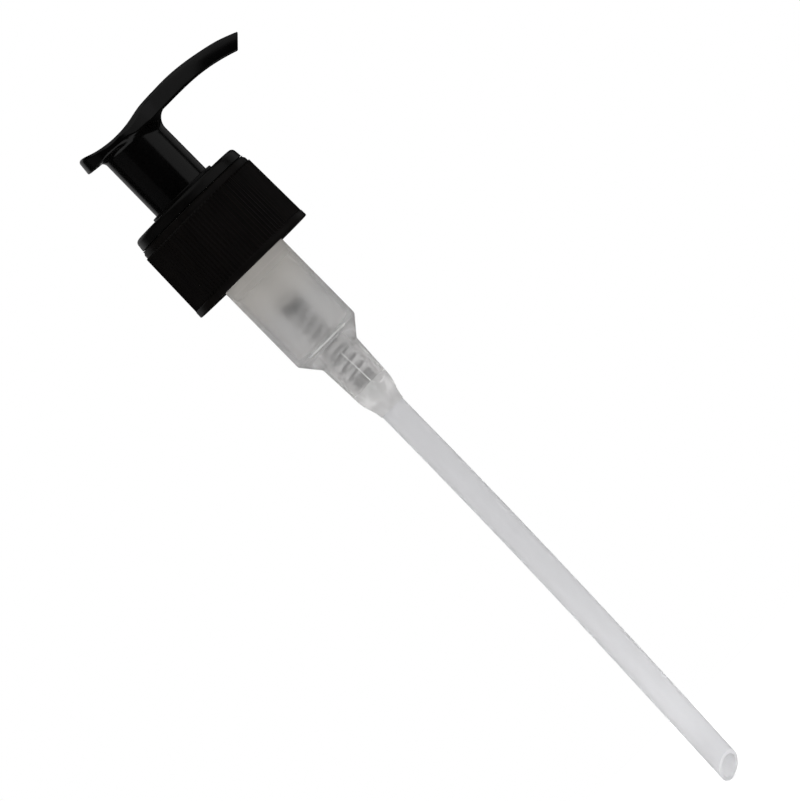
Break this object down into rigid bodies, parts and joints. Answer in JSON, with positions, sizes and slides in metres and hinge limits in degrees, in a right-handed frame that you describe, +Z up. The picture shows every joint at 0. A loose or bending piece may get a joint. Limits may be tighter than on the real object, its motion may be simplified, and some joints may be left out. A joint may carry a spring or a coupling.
{
  "type": "condiment pump dispenser",
  "caption": "Screw-on plunger pump with a curved dispensing arm, ribbed neck collar, translucent housing with a spring, and a long dip tube.",
  "frame": {"origin": "on the pump axis in the plane of the bottle's rim, which is the underside of the gasket", "axes": "+Z up the pump axis, away from the bottle; +X towards the nozzle; +Y completes the right-handed set"},
  "size_m": [0.0514, 0.0334, 0.2036],
  "materials": {
    "black_gloss": "black moulded polypropylene, polished",
    "black_satin": "black moulded polypropylene, semi-gloss",
    "black_ribbed": "black moulded polypropylene, satin, ribbed",
    "natural_plastic": "natural milky polypropylene",
    "seal_plastic": "natural soft polyethylene",
    "gasket_foam": "white foamed polyethylene",
    "clear_housing": "frosted natural polypropylene, translucent",
    "clear_tube": "frosted natural polyethylene, translucent",
    "spring_steel": "drawn stainless spring wire",
    "ball_glass": "clear glass"
  },
  "bodies": {
    "housing": {"pump_housing": "clear_housing", "locking_ring": "black_satin", "neck_gasket": "gasket_foam", "dip_tube": "clear_tube", "return_spring": "spring_steel"},
    "collar": {"screw_collar": "black_ribbed"},
    "rod": {"valve_rod": "natural_plastic"},
    "plunger": {"actuator_head": "black_gloss", "piston_stem": "natural_plastic"},
    "piston": {"piston_seal": "seal_plastic"},
    "ball": {"inlet_ball": "ball_glass"}
  },
  "joints": [
    {"name": "pump_stroke", "type": "slide", "parent": "housing", "child": "rod", "axis": [0, 0, 1], "range_m": [-0.014, 0], "stiffness_N_per_m": 320, "springref_m": 0.012, "deforming": ["return_spring"]},
    {"name": "nozzle_swivel", "type": "hinge", "parent": "rod", "child": "plunger", "pos_m": [0, 0, 0], "axis": [0, 0, 1], "continuous": true},
    {"name": "piston_float", "type": "slide", "parent": "rod", "child": "piston", "axis": [0, 0, 1], "range_m": [0, 0.00095]},
    {"name": "collar_spin", "type": "hinge", "parent": "housing", "child": "collar", "pos_m": [0, 0, 0], "axis": [0, 0, 1], "continuous": true},
    {"name": "inlet_ball_lift", "type": "slide", "parent": "housing", "child": "ball", "axis": [0, 0, 1], "range_m": [0, 0.0008]}
  ]
}
